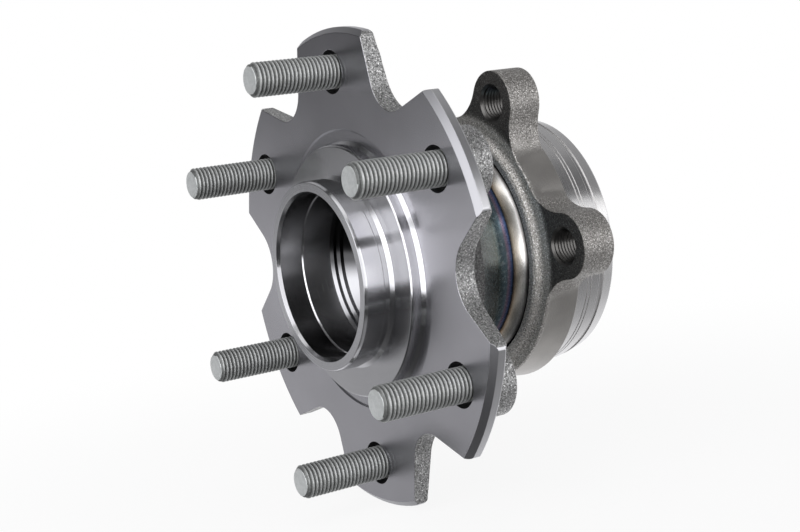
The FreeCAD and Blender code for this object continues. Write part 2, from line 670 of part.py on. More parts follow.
turned(lp2, "rear_lip_turning", [
    (D.high_rad + D.rear_skin + D.lip_gap, y_a - 0.5),
    (D.rear_web_rad, y_a - 0.6),
    (D.rear_web_rad, y_a),
    (D.seal_rad - D.rear_skin - 0.3, y_a),
    (D.seal_rad - D.rear_skin - 0.3, y_a + 0.7),
    (D.rear_flange_rad - 1.2, y_a + 0.9),
    (D.rear_flange_rad - 0.9, D.rear_flange - 0.15),
    (D.rear_flange_rad - 1.4, D.rear_flange - 0.15),
    (D.rear_web_rad + 0.8, y_a + 0.7),
    (D.high_rad + D.rear_skin + D.lip_gap + 0.4, y_a + 1.1),
    (D.high_rad + D.rear_skin + D.lip_gap, y_a + 1.1),
    (D.high_rad + D.rear_skin + D.lip_gap + 0.5, y_a + 0.4),
])
en = new_body("encoder_ring")
turned(en, "encoder_turning", [
    (D.magnet_rad, D.rear_flange + D.rear_skin),
    (D.rear_flange_rad, D.rear_flange + D.rear_skin),
    (D.rear_flange_rad, D.rear_flange + D.rear_skin + D.magnet_thick - 0.2),
    (D.rear_flange_rad - 0.2, D.rear_flange + D.rear_skin + D.magnet_thick),
    (D.magnet_rad, D.rear_flange + D.rear_skin + D.magnet_thick),
])

# ---------------------------------------------------------------- wheel studs
for i, (sx, sz) in enumerate(stud_xz, start=1):
    b = new_body("wheel_stud_%d" % i, Placement(Vector(sx.v, 0, sz.v), Rotation()))
    b.setExpression("Placement.Base.x", sx.t)
    b.setExpression("Placement.Base.z", sz.t)
    turned(b, "stud_%d_turning" % i, [
        (0, D.stud_tip),
        (D.stud_tip_rad, D.stud_tip),
        (D.stud_rad, D.stud_tip + D.stud_lead),
        (D.stud_rad, D.shank_start),
        (D.stud_hole_rad, D.knurl_start),
        (D.stud_hole_rad, D.head_seat),
        (D.head_rad, D.head_seat),
        (D.head_rad, D.head_seat + D.head_thick - D.head_lead),
        (D.head_rad - D.head_lead, D.head_seat + D.head_thick),
        (0, D.head_seat + D.head_thick),
    ])

# ---------------------------------------------------------------- origin at the knuckle seat
for o in NODES:
    at = o.Placement.Base
    o.Placement = Placement(Vector(at.x, -D.ear_back.v, at.z), Rotation())
    o.setExpression("Placement.Base.y", (-D.ear_back).t)
doc.recompute()

# ---------------------------------------------------------------- checks and export
for o in doc.Objects:
    bad = [s for s in o.State if s in ("Invalid", "Error")]
    if bad:
        raise RuntimeError("%s: %s" % (o.Label, bad))
for o in NODES:
    if o.Shape.isNull() or not o.Shape.isValid() or o.Shape.Volume < 1e-3:
        raise RuntimeError("bad shape in " + o.Label)

os.makedirs("parts", exist_ok=True)
for o in NODES:
    o.Shape.exportStep(os.path.join("parts", o.Label + ".step"))
    print("%-20s solids %2d  volume %10.1f mm3" % (o.Label, len(o.Shape.Solids), o.Shape.Volume))
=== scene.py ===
import bpy
import bmesh
import math
from mathutils import Vector, Matrix, noise


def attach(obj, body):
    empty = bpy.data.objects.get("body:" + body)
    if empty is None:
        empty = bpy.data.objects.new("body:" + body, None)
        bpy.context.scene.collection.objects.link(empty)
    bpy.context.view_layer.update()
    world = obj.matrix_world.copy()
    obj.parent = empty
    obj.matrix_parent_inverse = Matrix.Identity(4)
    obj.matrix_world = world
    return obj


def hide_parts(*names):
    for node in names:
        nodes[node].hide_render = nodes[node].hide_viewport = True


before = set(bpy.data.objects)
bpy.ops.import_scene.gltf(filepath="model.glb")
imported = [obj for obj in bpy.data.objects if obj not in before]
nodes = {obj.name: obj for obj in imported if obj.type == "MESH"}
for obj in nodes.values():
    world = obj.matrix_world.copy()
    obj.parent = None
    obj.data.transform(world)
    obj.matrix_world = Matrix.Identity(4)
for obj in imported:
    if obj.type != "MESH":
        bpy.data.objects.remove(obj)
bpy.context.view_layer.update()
MM = 0.001
FACE = -61.2          # the flange's wheel face, in mm along Y


# ---------------------------------------------------------------- small helpers
def link(ob):
    bpy.context.scene.collection.objects.link(ob)
    return ob


class Mat:
    """A node material built by short calls."""

    def __init__(self, name):
        self.mat = bpy.data.materials.new(name)
        self.mat.use_nodes = True
        self.nt = self.mat.node_tree
        self.nt.nodes.clear()
        self.out = self.nt.nodes.new("ShaderNodeOutputMaterial")
        self.bsdf = self.nt.nodes.new("ShaderNodeBsdfPrincipled")
        self.nt.links.new(self.bsdf.outputs[0], self.out.inputs["Surface"])
        coord = self.nt.nodes.new("ShaderNodeTexCoord")
        self.pos = coord.outputs["Object"]
        self._xyz = None

    def put(self, socket, value):
        if isinstance(value, bpy.types.NodeSocket):
            self.nt.links.new(value, socket)
        elif value is not None:
            socket.default_value = value

    def math(self, op, a, b=None, c=None, clamp=False):
        n = self.nt.nodes.new("ShaderNodeMath")
        n.operation = op
        n.use_clamp = clamp
        for s, v in zip(n.inputs, (a, b, c)):
            self.put(s, v)
        return n.outputs[0]

    def vec(self, op, a, b=None, scale=None):
        n = self.nt.nodes.new("ShaderNodeVectorMath")
        n.operation = op
        self.put(n.inputs[0], a)
        if b is not None:
            self.put(n.inputs[1], b)
        if scale is not None:
            self.put(n.inputs["Scale"], scale)
        return n.outputs["Value"] if op in ("LENGTH", "DOT_PRODUCT", "DISTANCE") else n.outputs[0]

    def xyz(self):
        if self._xyz is None:
            n = self.nt.nodes.new("ShaderNodeSeparateXYZ")
            self.nt.links.new(self.pos, n.inputs[0])
            self._xyz = n.outputs
        return self._xyz

    def radius_mm(self):
        x, y, z = self.xyz()
        r = self.math("SQRT", self.math("ADD", self.math("MULTIPLY", x, x), self.math("MULTIPLY", z, z)))
        return self.math("MULTIPLY", r, 1000.0)

    def y_mm(self):
        return self.math("MULTIPLY", self.xyz()[1], 1000.0)

    def angle(self):
        x, y, z = self.xyz()
        return self.math("ARCTAN2", z, x)

    def join(self, x, y, z):
        n = self.nt.nodes.new("ShaderNodeCombineXYZ")
        for s, v in zip(n.inputs, (x, y, z)):
            self.put(s, v)
        return n.outputs[0]

    def noise(self, scale, detail=3.0, rough=0.55, vector=None, dims="3D", w=None, distortion=0.0, kind="FBM"):
        n = self.nt.nodes.new("ShaderNodeTexNoise")
        n.noise_dimensions = dims
        if dims == "3D":
            n.noise_type = kind
        self.put(n.inputs["Scale"], scale)
        self.put(n.inputs["Detail"], detail)
        self.put(n.inputs["Roughness"], rough)
        self.put(n.inputs["Distortion"], distortion)
        if dims != "1D":
            self.put(n.inputs["Vector"], vector if vector is not None else self.pos)
        if w is not None:
            self.put(n.inputs["W"], w)
        return n.outputs["Fac"]

    def voronoi(self, scale, feature="F1", vector=None, random=1.0):
        n = self.nt.nodes.new("ShaderNodeTexVoronoi")
        n.feature = feature
        self.put(n.inputs["Scale"], scale)
        self.put(n.inputs["Randomness"], random)
        self.put(n.inputs["Vector"], vector if vector is not None else self.pos)
        return n.outputs["Distance"]

    def remap(self, v, a, b, c=0.0, d=1.0, smooth=False):
        n = self.nt.nodes.new("ShaderNodeMapRange")
        n.clamp = True
        n.interpolation_type = "SMOOTHSTEP" if smooth else "LINEAR"
        for s, x in zip(n.inputs, (v, a, b, c, d)):
            self.put(s, x)
        return n.outputs[0]

    def ramp(self, v, stops, mode="LINEAR"):
        n = self.nt.nodes.new("ShaderNodeValToRGB")
        n.color_ramp.interpolation = mode
        el = n.color_ramp.elements
        while len(el) < len(stops):
            el.new(0.5)
        for e, (p, c) in zip(el, stops):
            e.position = p
            e.color = (*c, 1.0) if len(c) == 3 else c
        self.put(n.inputs[0], v)
        return n.outputs[0]

    def mix(self, fac, a, b, mode="MIX"):
        n = self.nt.nodes.new("ShaderNodeMix")
        n.data_type = "RGBA"
        n.blend_type = mode
        self.put(n.inputs[0], fac)
        for s, v in ((n.inputs[6], a), (n.inputs[7], b)):
            if isinstance(v, tuple) and len(v) == 3:
                v = (*v, 1.0)
            self.put(s, v)
        return n.outputs[2]

    def bump(self, height, strength=0.5, distance=0.0001, normal=None):
        n = self.nt.nodes.new("ShaderNodeBump")
        self.put(n.inputs["Strength"], strength)
        self.put(n.inputs["Distance"], distance)
        self.put(n.inputs["Height"], height)
        if normal is not None:
            self.put(n.inputs["Normal"], normal)
        return n.outputs[0]

    def set(self, **k):
        names = {"color": "Base Color", "rough": "Roughness", "metal": "Metallic", "normal": "Normal", "aniso": "Anisotropic",
                 "aniso_rot": "Anisotropic Rotation", "spec": "Specular IOR Level", "coat": "Coat Weight",
                 "coat_rough": "Coat Roughness", "tangent": "Tangent", "sheen": "Sheen Weight"}
        for key, v in k.items():
            if isinstance(v, tuple) and len(v) == 3:
                v = (*v, 1.0)
            self.put(self.bsdf.inputs[names[key]], v)
        return self

    def around(self):
        """Tangent that runs round the Y axis."""
        n = self.nt.nodes.new("ShaderNodeTangent")
        n.direction_type = "RADIAL"
        n.axis = "Y"
        return n.outputs[0]


# ---------------------------------------------------------------- materials
def turned(name, base, rough, aniso, marks=1.0, smudge=0.06, grain=0.0, fine_scale=5.5, shade=None):
    """Lathe-turned steel: fine rings on faces and cylinders alike.  The gloss spreads across the rings."""
    m = Mat(name)
    ring = m.math("ADD", m.radius_mm(), m.y_mm())
    fine = m.noise(fine_scale, 2.0, 0.6, dims="1D", w=ring)
    broad = m.noise(0.9, 2.0, 0.5, dims="1D", w=ring)
    stain = m.noise(22.0, 4.0, 0.55)
    tone = m.math("ADD", m.math("MULTIPLY", m.math("SUBTRACT", broad, 0.5), 0.10 * marks),
                  m.math("MULTIPLY", m.math("SUBTRACT", stain, 0.5), smudge * 1.6))
    tone = m.math("ADD", tone, m.math("MULTIPLY", m.math("SUBTRACT", fine, 0.5), 0.10 * marks))
    tone = m.math("ADD", 1.0, tone)
    if shade is not None:
        tone = m.math("MULTIPLY", tone, shade(m))
    col = m.mix(m.remap(stain, 0.35, 0.65), tuple(c * 0.96 for c in base), tuple(min(1.0, c * 1.04) for c in base))
    n = m.vec("SCALE", col, scale=tone)
    r = m.math("ADD", rough, m.math("MULTIPLY", m.math("SUBTRACT", stain, 0.5), smudge))
    r = m.math("ADD", r, m.math("MULTIPLY", m.math("SUBTRACT", fine, 0.5), 0.08 * marks))
    height = fine
    if grain:
        height = m.math("ADD", fine, m.math("MULTIPLY", m.noise(2200.0, 2.0, 0.6), grain))
    m.set(color=n, rough=r, metal=1.0, aniso=aniso, aniso_rot=0.25, tangent=m.around(),
          normal=m.bump(height, 0.25 * marks, 0.000012))
    return m.mat


def forged(name, base, dark, painted_glint_color, grain=1.0, metal=0.9, depth=0.00024, calm=None, shade=None):
    """Shot-blasted forging: dense fine pits, with bright specks painted in as glints.  calm(m) gives where the skin
    runs smoother.
    """
    m = Mat(name)
    pits = m.noise(2400.0 * grain, 2.0, 0.6)
    lumps = m.noise(1250.0 * grain, 2.0, 0.6, vector=m.vec("ADD", m.pos, (0.31, 0.17, 0.05)))
    specks = m.noise(1700.0 * grain, 1.0, 0.5, vector=m.vec("ADD", m.pos, (0.11, 0.37, 0.23)))
    blotch = m.noise(60.0, 3.0, 0.5)
    f = m.math("ADD", m.math("MULTIPLY", pits, 0.55), m.math("MULTIPLY", lumps, 0.45))
    col = m.ramp(f, [(0.40, dark), (0.50, base), (0.62, tuple(min(1.0, c * 1.6) for c in base))])
    # painted glints: bright specks mixed into the colour
    hot = m.remap(specks, 0.59, 0.68, smooth=True)
    col = m.mix(hot, col, painted_glint_color)
    col = m.mix(m.remap(blotch, 0.35, 0.7, 0.0, 0.3), col, tuple(c * 0.75 for c in base))
    r = m.math("SUBTRACT", m.remap(f, 0.36, 0.66, 0.56, 0.38), m.math("MULTIPLY", hot, 0.10))
    h = m.math("ADD", m.math("MULTIPLY", pits, 0.6), m.math("MULTIPLY", lumps, 1.0))
    if calm is not None:
        k = calm(m)
        col = m.mix(k, col, m.mix(m.remap(blotch, 0.35, 0.65), tuple(c * 1.22 for c in base), tuple(c * 1.50 for c in base)))
        r = m.math("ADD", r, m.math("MULTIPLY", k, m.math("SUBTRACT", 0.36, r)))
        h = m.math("MULTIPLY", h, m.math("SUBTRACT", 1.0, m.math("MULTIPLY", k, 0.74)))
    if shade is not None:
        col = m.vec("SCALE", col, scale=shade(m))
    m.set(color=col, rough=r, metal=metal, normal=m.bump(h, 1.0, depth))
    return m.mat


def painted_bore_shade(m, drop=5.5):
    """Painted shade: darker towards the top and bottom of the bore, standing in for the dark reflections there."""
    z = m.math("ABSOLUTE", m.math("MULTIPLY_ADD", m.xyz()[2], 1000.0, drop))
    wave = m.math("MULTIPLY", m.math("SUBTRACT", m.noise(45.0, 2.0, 0.5), 0.5), 4.0)
    return m.remap(m.math("ADD", z, wave), 10.0, 18.5, 1.0, 0.24, smooth=True)


def painted_seat_shade(m):
    """Painted shade: the deep seats are darker over their upper half."""
    z = m.math("MULTIPLY", m.xyz()[2], 1000.0)
    wave = m.math("MULTIPLY", m.math("SUBTRACT", m.noise(60.0, 2.0, 0.5), 0.5), 3.0)
    return m.remap(m.math("ADD", z, wave), -7.0, 1.5, 1.0, 0.14, smooth=True)


def painted_web_shade(m):
    """Painted shade on the cut sides of the web behind the flange, near the neck."""
    n = m.nt.nodes.new("ShaderNodeNewGeometry")
    s = m.nt.nodes.new("ShaderNodeSeparateXYZ")
    m.nt.links.new(n.outputs["Normal"], s.inputs[0])
    side = m.remap(m.math("ABSOLUTE", s.outputs[1]), 0.30, 0.55, 1.0, 0.0, smooth=True)
    wave = m.math("MULTIPLY", m.math("SUBTRACT", m.noise(140.0, 2.0, 0.5), 0.5), 1.2)
    behind = m.remap(m.math("ADD", m.y_mm(), wave), FACE + 7.8, FACE + 8.8, smooth=True)
    near = m.remap(m.radius_mm(), 62.0, 66.0, 1.0, 0.0, smooth=True)
    return m.math("SUBTRACT", 1.0, m.math("MULTIPLY", m.math("MULTIPLY", m.math("MULTIPLY", side, behind), near), 0.62))


def painted_ring_light_and_shade(m):
    """Painted light and shade: the ring's nose is painted brighter than its sides, and the front faces of the ears
    darker, where the flange shades them.
    """
    n = m.nt.nodes.new("ShaderNodeNewGeometry")
    s = m.nt.nodes.new("ShaderNodeSeparateXYZ")
    m.nt.links.new(n.outputs["Normal"], s.inputs[0])
    front = m.math("MULTIPLY", s.outputs[1], -1.0)
    r = m.radius_mm()
    ear = m.math("MULTIPLY", m.remap(front, 0.35, 0.85, smooth=True), m.remap(r, 48.8, 51.6, smooth=True))
    brow_highlight = m.math("MULTIPLY", m.remap(front, 0.05, 0.40, smooth=True), m.remap(r, 48.4, 50.6, 1.0, 0.0, smooth=True))
    return m.math("ADD", 1.0, m.math("SUBTRACT", m.math("MULTIPLY", brow_highlight, 0.95), m.math("MULTIPLY", ear, 0.70)))


EAR_AT = [(58.31 * math.cos(math.radians(a)), 58.31 * math.sin(math.radians(a))) for a in (2.6, 64.6, 182.6, 244.6)]


def between_ears(m):
    """1 on the ring's side away from the ears and behind its front edge, 0 on the ears and the nose."""
    x, y, z = m.xyz()
    near = None
    for ex, ez in EAR_AT:
        d = m.math("SQRT", m.math("ADD", m.math("POWER", m.math("SUBTRACT", x, ex * MM), 2.0),
                                  m.math("POWER", m.math("SUBTRACT", z, ez * MM), 2.0)))
        near = d if near is None else m.math("MINIMUM", near, d)
    wave = m.math("MULTIPLY", m.math("SUBTRACT", m.noise(90.0, 3.0, 0.5), 0.5), 0.012)
    side = m.remap(m.math("ADD", near, wave), 0.0155, 0.0235, smooth=True)
    back = m.remap(m.y_mm(), FACE + 49.0, FACE + 50.2, smooth=True)
    out = m.remap(m.radius_mm(), 47.3, 48.2)
    return m.math("MULTIPLY", m.math("MULTIPLY", side, back), out)


def neck_steel(name):
    """Ground seat behind the flange with the tint that induction heating leaves; its darkest end, next to the slinger,
    is painted shade of the crevice there.
    """
    m = Mat(name)
    y = m.y_mm()
    f = m.remap(y, FACE + 25.0, FACE + 44.0)
    wob = m.noise(120.0, 3.0, 0.6)
    streak = m.noise(6.0, 2.0, 0.6, dims="1D", w=y)
    f = m.math("ADD", f, m.math("MULTIPLY", m.math("SUBTRACT", wob, 0.5), 0.03))
    # the last, blue-black stops paint the crevice shade at the slinger
    col = m.ramp(f, [(0.0, (0.26, 0.28, 0.29)), (0.30, (0.14, 0.175, 0.19)), (0.60, (0.105, 0.16, 0.18)),
                     (0.79, (0.11, 0.165, 0.20)), (0.835, (0.27, 0.20, 0.26)), (0.870, (0.17, 0.16, 0.28)),
                     (0.905, (0.06, 0.11, 0.24)), (0.935, (0.03, 0.05, 0.10))])
    dapple = m.noise(700.0, 3.0, 0.7)
    col = m.mix(m.math("MULTIPLY", m.remap(dapple, 0.42, 0.72, 0.0, 0.5), m.remap(f, 0.74, 0.84, 1.0, 0.1)), col, (0.40, 0.46, 0.47))
    r = m.math("ADD", 0.26, m.math("MULTIPLY", m.math("SUBTRACT", dapple, 0.5), 0.2))
    m.set(color=col, rough=r, metal=1.0, aniso=0.6, aniso_rot=0.25, tangent=m.around(),
          normal=m.bump(m.math("ADD", streak, m.math("MULTIPLY", dapple, 0.6)), 0.4, 0.00003))
    return m.mat


def sheet_steel(name, base=(0.62, 0.60, 0.56), rough=0.17, tint=False, aniso=0.4):
    m = Mat(name)
    ring = m.math("ADD", m.radius_mm(), m.y_mm())
    fine = m.noise(4.0, 2.0, 0.6, dims="1D", w=ring)
    cloud = m.noise(90.0, 3.0, 0.55)
    if tint:
        # heat tint along the radius, with painted light: a near-white highlight band in the middle and painted shade at
        # the rolled outer lip by the gap
        f = m.math("ADD", m.remap(m.radius_mm(), 36.2, 40.3), m.math("MULTIPLY", m.math("SUBTRACT", cloud, 0.5), 0.10))
        col = m.ramp(f, [(0.0, (0.55, 0.36, 0.26)), (0.14, (0.90, 0.66, 0.46)), (0.30, (0.95, 0.84, 0.70)),
                         (0.50, (0.96, 0.91, 0.82)), (0.79, (0.95, 0.94, 0.92)), (0.86, (0.48, 0.46, 0.44)),
                         (0.91, (0.17, 0.165, 0.16)), (1.0, (0.12, 0.12, 0.12))])
        # painted shade: darker over the upper part of the slinger
        high = m.math("MULTIPLY_ADD", m.xyz()[2], 1000.0, m.math("MULTIPLY", m.math("SUBTRACT", cloud, 0.5), 8.0))
        col = m.vec("SCALE", col, scale=m.remap(high, 17.0, 29.0, 1.0, 0.42, smooth=True))
    else:
        col = m.mix(m.remap(cloud, 0.3, 0.7), tuple(c * 0.92 for c in base), base)
    r = m.math("ADD", rough, m.math("MULTIPLY", m.math("SUBTRACT", cloud, 0.5), 0.10))
    m.set(color=col, rough=r, metal=1.0, aniso=aniso, aniso_rot=0.25, tangent=m.around(), normal=m.bump(fine, 0.25, 0.00001))
    return m.mat


def coated_stud(name):
    """Phosphate-coated stud steel, matt grey-green, with its crests painted lighter and its roots darker as painted
    light and shade.
    """
    m = Mat(name)
    r = m.radius_mm()
    # painted light on the thread crests, painted shade in the roots
    crest_light_root_shade = m.remap(r, 5.25, 5.98, 0.0, 1.0, smooth=True)
    grain = m.noise(1400.0, 3.0, 0.65)
    cloud = m.noise(160.0, 3.0, 0.55)
    f = m.math("ADD", m.math("MULTIPLY", crest_light_root_shade, 0.75), m.math("MULTIPLY", m.math("SUBTRACT", grain, 0.5), 0.9))
    f = m.math("ADD", f, m.math("MULTIPLY", m.math("SUBTRACT", cloud, 0.5), 0.35))
    col = m.ramp(f, [(0.0, (0.17, 0.175, 0.17)), (0.4, (0.34, 0.35, 0.34)), (0.85, (0.56, 0.57, 0.56)), (1.0, (0.74, 0.75, 0.74))])
    rough = m.remap(f, 0.0, 1.0, 0.62, 0.42)
    m.set(color=col, rough=rough, metal=0.75, spec=0.5,
          normal=m.bump(m.math("ADD", grain, m.math("MULTIPLY", cloud, 0.5)), 0.55, 0.00006))
    return m.mat


def stud_end(name):
    m = Mat(name)
    grain = m.noise(1300.0, 3.0, 0.6)
    cloud = m.noise(260.0, 3.0, 0.6)
    col = m.ramp(m.math("ADD", m.math("MULTIPLY", grain, 0.45), m.math("MULTIPLY", cloud, 0.55)),
                 [(0.3, (0.50, 0.52, 0.515)), (0.5, (0.60, 0.62, 0.61)), (0.7, (0.70, 0.715, 0.71))])
    m.set(color=col, rough=0.5, metal=0.45, normal=m.bump(grain, 0.4, 0.00005))
    return m.mat


def rubber(name, base=(0.018, 0.018, 0.019), rough=0.55):
    m = Mat(name)
    grain = m.noise(1600.0, 3.0, 0.6)
    cloud = m.noise(140.0, 3.0, 0.55)
    col = m.mix(m.remap(cloud, 0.3, 0.7), base, tuple(c * 1.9 for c in base))
    m.set(color=col, rough=m.remap(grain, 0.3, 0.7, rough - 0.1, rough + 0.12), metal=0.0, spec=0.45,
          normal=m.bump(grain, 0.35, 0.00004))
    return m.mat


def magnet_rubber(name):
    """Encoder track: dark magnet-filled rubber with a faint change between its poles."""
    m = Mat(name)
    pole = m.math("SINE", m.math("MULTIPLY", m.angle(), 48.0))
    grain = m.noise(1500.0, 3.0, 0.6)
    f = m.remap(pole, -0.25, 0.25)
    col = m.mix(f, (0.036, 0.031, 0.028), (0.052, 0.046, 0.042))
    col = m.mix(m.remap(grain, 0.35, 0.7, 0.0, 0.5), col, (0.075, 0.068, 0.062))
    m.set(color=col, rough=m.remap(grain, 0.3, 0.7, 0.42, 0.6), metal=0.0, normal=m.bump(grain, 0.3, 0.00004))
    return m.mat


def nylon(name):
    m = Mat(name)
    fibre = m.noise(1200.0, 3.0, 0.6, vector=m.vec("MULTIPLY", m.pos, (1.0, 0.25, 1.0)))
    cloud = m.noise(200.0, 2.0, 0.5)
    col = m.mix(m.remap(cloud, 0.3, 0.7), (0.085, 0.075, 0.055), (0.14, 0.125, 0.095))
    m.set(color=col, rough=m.remap(fibre, 0.3, 0.7, 0.36, 0.52), metal=0.0, normal=m.bump(fibre, 0.3, 0.00004))
    return m.mat


def ground(name, base=(0.70, 0.70, 0.72), rough=0.11):
    """Ground and polished bearing steel."""
    m = Mat(name)
    ring = m.math("ADD", m.radius_mm(), m.y_mm())
    fine = m.noise(7.0, 2.0, 0.6, dims="1D", w=ring)
    film = m.noise(160.0, 3.0, 0.55)
    col = m.mix(m.remap(film, 0.3, 0.7), tuple(c * 0.93 for c in base), base)
    m.set(color=col, rough=m.math("ADD", rough, m.math("MULTIPLY", m.math("SUBTRACT", film, 0.5), 0.08)), metal=1.0,
          normal=m.bump(fine, 0.15, 0.00001))
    return m.mat


M = {
    "turned": turned("turned_face_steel", (0.56, 0.555, 0.585), 0.25, 0.78, marks=0.12, smudge=0.08),
    "bevel": turned("turned_bevel_steel", (0.38, 0.38, 0.395), 0.42, 0.4, marks=0.6),
    "nose": turned("turned_nose_steel", (0.60, 0.60, 0.615), 0.20, 0.90, marks=0.5, smudge=0.04),
    "lip": turned("turned_lip_steel", (0.62, 0.62, 0.64), 0.28, 0.75),
    # the seat is darkened over its upper half by painted shade
    "seat": turned("turned_seat_steel", (0.34, 0.34, 0.35), 0.20, 0.6, marks=0.5, smudge=0.04, shade=painted_seat_shade),
    "rim": turned("turned_rim_steel", (0.54, 0.54, 0.55), 0.34, 0.6),
    # blasted forging with painted shade on the web sides behind the flange
    "forged": forged("blasted_forging", (0.30, 0.30, 0.295), (0.09, 0.09, 0.088), (0.85, 0.85, 0.84), shade=painted_web_shade),
    # ring forging with painted light on the nose and painted shade on the ear fronts
    "ear": forged("blasted_ring_forging", (0.28, 0.27, 0.255), (0.12, 0.115, 0.106), (0.78, 0.76, 0.73), grain=1.25,
                  calm=between_ears, shade=painted_ring_light_and_shade),
    # bore and relief are darkened at top and bottom by painted shade
    "bore": turned("turned_bore_steel", (0.74, 0.74, 0.75), 0.20, 0.6, marks=0.6, smudge=0.04, shade=painted_bore_shade),
    "relief": turned("turned_relief_steel", (0.80, 0.80, 0.81), 0.26, 0.5, marks=0.6, smudge=0.04, shade=lambda m: painted_bore_shade(m, 8.0)),
    "pilot": turned("turned_pilot_steel", (0.62, 0.615, 0.61), 0.26, 0.8),
    "line": turned("turned_line_steel", (0.66, 0.65, 0.64), 0.50, 0.3),
    "neck": neck_steel("heat_tinted_neck_painted_crevice_shade"),
    # drilled holes painted dark as shade in the recesses
    "hole": turned("drilled_hole_painted_shade", (0.16, 0.16, 0.165), 0.5, 0.0),
    "race": ground("ground_race_steel"),
    "ball": ground("polished_ball_steel", (0.72, 0.72, 0.74), 0.07),
    # spline and tapped threads painted near-black as shade in the deep recesses
    "spline": turned("broached_spline_painted_shade", (0.13, 0.13, 0.135), 0.42, 0.0),
    "thread": turned("tapped_thread_painted_shade", (0.11, 0.107, 0.102), 0.30, 0.0),
    "stud": coated_stud("phosphate_stud_steel"),
    "stud_end": stud_end("sheared_stud_end"),
    "slinger": sheet_steel("heat_tinted_slinger_painted_light", tint=True, rough=0.25, aniso=0.7),
    "sheet": sheet_steel("bright_seal_sheet"),
    "rubber": rubber("seal_rubber_black"),
    "magnet": magnet_rubber("encoder_rubber_dark"),
    "nylon": nylon("cage_nylon_dark"),
}


# ---------------------------------------------------------------- hub and outer ring with real edge rounding
def stitch(bm):
    """Give both rims of an open seam the same corners.  Every seam is a full circle about the Y axis, so a
    corner that one rim lacks is put on its edge at the other rim's angle, at the circle's radius."""
    seams = {}
    for e in bm.edges:
        if len(e.link_faces) == 1:
            a, b = e.verts
            r = (math.hypot(a.co.x, a.co.z) + math.hypot(b.co.x, b.co.z)) / 2
            seams.setdefault((round(a.co.y * 1e4), round(r * 2000)), []).append(e)
    for edges in seams.values():
        turns = sorted({round(math.atan2(v.co.z, v.co.x), 7) for e in edges for v in e.verts})
        for e in edges:
            a, b = e.verts
            r = (math.hypot(a.co.x, a.co.z) + math.hypot(b.co.x, b.co.z)) / 2
            y = (a.co.y + b.co.y) / 2
            start = math.atan2(a.co.z, a.co.x)
            span = (math.atan2(b.co.z, b.co.x) - start + math.pi) % (2 * math.pi) - math.pi
            here = []
            for t in turns:
                d = (t - start + math.pi) % (2 * math.pi) - math.pi
                if span and 1e-5 < d / span * abs(span) < abs(span) - 1e-5 and d * span > 0:
                    here.append(d)
            here.sort(key=abs)
            edge, at = e, a
            for d in here:
                edge_new, v = bmesh.utils.edge_split(edge, at, 0.5)
                v.co = Vector((r * math.cos(start + d), y, r * math.sin(start + d)))
                edge = next(x for x in v.link_edges if b in x.verts and len(x.link_faces) == 1)
                at = v


def rounded_copy(parts, name, round_of, most, weld_mm=0.002, angle=25.0, segments=2, meets=()):
    """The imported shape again, welded into whole faces, with its outer edges rounded.  round_of gives the
    rounding in mm for an edge's middle, measured from the flange face; other sharp edges stay crisp.
    meets lists (y, largest radius) of the planes where the nodes of one forging meet: the two faces
    there lie inside the metal and are dropped."""
    bm = bmesh.new()
    for node in parts:
        bm.from_mesh(nodes[node].data)
    inner = []
    for f in bm.faces:
        for y, r in meets:
            if all(abs(v.co.y * 1000 - FACE - y) < 0.004 and math.hypot(v.co.x, v.co.z) * 1000 < r for v in f.verts):
                inner.append(f)
    bmesh.ops.delete(bm, geom=inner, context="FACES")
    bmesh.ops.remove_doubles(bm, verts=bm.verts, dist=weld_mm * MM)
    stitch(bm)
    bmesh.ops.remove_doubles(bm, verts=bm.verts, dist=weld_mm * MM)
    for y, _ in meets:
        lap = [v for v in bm.verts if abs(v.co.y * 1000 - FACE - y) < 0.004 and math.hypot(v.co.x, v.co.z) < 0.0292]
        bmesh.ops.remove_doubles(bm, verts=lap, dist=0.34 * MM)
    bmesh.ops.dissolve_limit(bm, angle_limit=math.radians(0.4), use_dissolve_boundaries=False, verts=bm.verts,
                             edges=bm.edges, delimit={"NORMAL"})
    bm.verts.index_update()
    clean = bpy.data.meshes.new(name)
    clean.from_pydata([v.co[:] for v in bm.verts], [], [[v.index for v in f.verts] for f in bm.faces])
    bm.free()
    bm = bmesh.new()
    bm.from_mesh(clean)
    weight = bm.edges.layers.float.new("bevel_weight_edge")
    for f in bm.faces:
        f.smooth = True
    for e in bm.edges:
        if len(e.link_faces) != 2 or e.calc_face_angle(0) < math.radians(angle):
            continue
        c = (e.verts[0].co + e.verts[1].co) * 500.0
        w = round_of(c.x, c.y - FACE, c.z) if e.is_convex else 0.0
        if w > 0:
            e[weight] = w / most
        else:
            e.smooth = False
    bm.to_mesh(clean)
    bm.free()
    ob = link(bpy.data.objects.new(name, clean))
    mod = ob.modifiers.new("edges", "BEVEL")
    mod.limit_method = "WEIGHT"
    mod.width = most * MM
    mod.segments = segments
    mod.profile = 0.5
    mod.use_clamp_overlap = False
    mod.harden_normals = True
    mod.miter_outer = "MITER_SHARP"
    tri = ob.modifiers.new("triangles", "TRIANGULATE")
    tri.keep_custom_normals = True
    bpy.context.view_layer.update()
    dg = bpy.context.evaluated_depsgraph_get()
    made = bpy.data.meshes.new_from_object(ob.evaluated_get(dg))
    ob.modifiers.clear()
    ob.data = made
    bpy.data.meshes.remove(clean)
    made.name = name
    return ob


def paint(ob, keys, pick):
    """Give each face the material that pick(centre in mm from the flange face, normal) names."""
    ob.data.materials.clear()
    for k in keys:
        ob.data.materials.append(M[k])
    index = {k: i for i, k in enumerate(keys)}
    for p in ob.data.polygons:
        c = p.center
        p.material_index = index[pick(c.x * 1000, c.y * 1000 - FACE, c.z * 1000, p.normal)]


